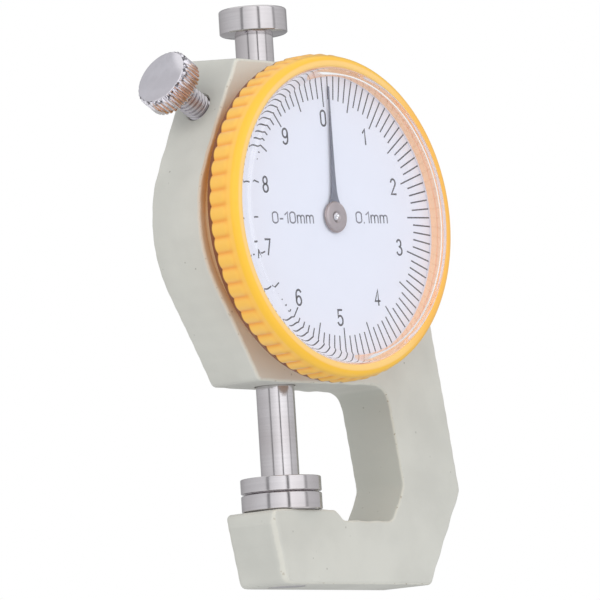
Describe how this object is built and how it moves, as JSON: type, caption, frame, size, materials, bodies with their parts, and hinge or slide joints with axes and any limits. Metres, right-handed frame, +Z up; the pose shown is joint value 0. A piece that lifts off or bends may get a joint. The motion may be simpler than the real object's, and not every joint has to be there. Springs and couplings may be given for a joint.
{
  "type": "dial thickness gauge",
  "caption": "Hand-held dial thickness gauge: cast C-frame with a round dial head, turning fluted bezel, lifting spindle with flat contact discs and a side clamp screw.",
  "frame": {"origin": "point where the spindle axis meets the underside of the foot", "axes": "+Z up along the spindle towards the lifting cap, -Y out of the dial towards the reader, +X from the contacts towards the arm of the frame"},
  "size_m": [0.0492, 0.0193, 0.072],
  "materials": {
    "cast_paint": "satin warm grey-green paint on a casting",
    "ground_steel": "finely turned and ground",
    "spring_steel": "bright wire and strip",
    "screw_steel": "bright small screws",
    "brass": "turned brass",
    "needle_paint": "dark satin",
    "orange_plastic": "semi-gloss moulded",
    "dial_white": "matte white with printed scale",
    "crystal_clear": "clear polished",
    "chrome_plate": "bright plated"
  },
  "bodies": {
    "frame": {"frame": "cast_paint", "anvil": "ground_steel", "lower_bush": "brass", "upper_bush": "brass", "guide_rail": "brass", "return_spring": "spring_steel", "spring_anchor": "spring_steel", "movement_plate": "brass", "pinion_bridge": "brass", "back_cover": "cast_paint", "centre_bush": "brass", "hairspring": "spring_steel", "hairspring_stud": "brass", "cover_screw_1": "screw_steel", "cover_screw_2": "screw_steel", "cover_screw_3": "screw_steel", "plate_screw_1": "screw_steel", "plate_screw_2": "screw_steel", "plate_screw_3": "screw_steel", "plate_screw_4": "screw_steel", "bridge_screw_1": "screw_steel", "bridge_screw_2": "screw_steel"},
    "spindle_set": {"spindle": "ground_steel", "upper_contact": "ground_steel", "lift_cap": "ground_steel", "guide_pin": "spring_steel"},
    "pinion_set": {"pinion_arbor": "ground_steel", "drive_gear": "brass"},
    "pointer_set": {"centre_arbor": "ground_steel", "centre_gear": "brass", "pointer": "needle_paint"},
    "hairspring_set": {"hairspring_arbor": "ground_steel", "hairspring_wheel": "brass"},
    "bezel_set": {"bezel": "orange_plastic", "bezel_spring": "spring_steel", "dial_plate": "dial_white", "crystal": "crystal_clear"},
    "clamp_feed_set": {"clamp_plug": "brass"},
    "clamp_screw_set": {"clamp_screw": "chrome_plate"}
  },
  "joints": [
    {"name": "spindle_lift", "type": "slide", "parent": "frame", "child": "spindle_set", "axis": [0, 0, 1], "range_m": [0, 0.01], "stiffness_N_per_m": 100, "springref_m": -0.01, "deforming": ["return_spring"]},
    {"name": "pinion_turn", "type": "hinge", "parent": "frame", "child": "pinion_set", "pos_m": [-0.00349, -0.0035, 0.04788], "axis": [0, 1, 0], "range_deg": [-360, 0]},
    {"name": "pointer_turn", "type": "hinge", "parent": "frame", "child": "pointer_set", "pos_m": [0, -0.0075, 0.04448], "axis": [0, 1, 0], "range_deg": [0, 360]},
    {"name": "hairspring_turn", "type": "hinge", "parent": "frame", "child": "hairspring_set", "pos_m": [0.00349, -0.006, 0.04108], "axis": [0, 1, 0], "range_deg": [-360, 0]},
    {"name": "bezel_turn", "type": "hinge", "parent": "frame", "child": "bezel_set", "pos_m": [0, -0.0105, 0.04448], "axis": [0, 1, 0], "continuous": true},
    {"name": "clamp_feed", "type": "slide", "parent": "frame", "child": "clamp_feed_set", "axis": [-0.8788, 0, 0.4772], "range_m": [-0.00025, 0.001]},
    {"name": "clamp_turn", "type": "hinge", "parent": "clamp_feed_set", "child": "clamp_screw_set", "pos_m": [-0.01094, 0, 0.05907], "axis": [-0.8788, 0, 0.4772], "range_deg": [-150.1, 600.1]}
  ],
  "couplings": [
    {"joint": "pinion_turn", "follows": "spindle_lift", "rad_per_m": -628.32},
    {"joint": "pointer_turn", "follows": "spindle_lift", "rad_per_m": 628.32},
    {"joint": "hairspring_turn", "follows": "spindle_lift", "rad_per_m": -628.32},
    {"joint": "clamp_turn", "follows": "clamp_feed", "rad_per_m": 10472}
  ]
}
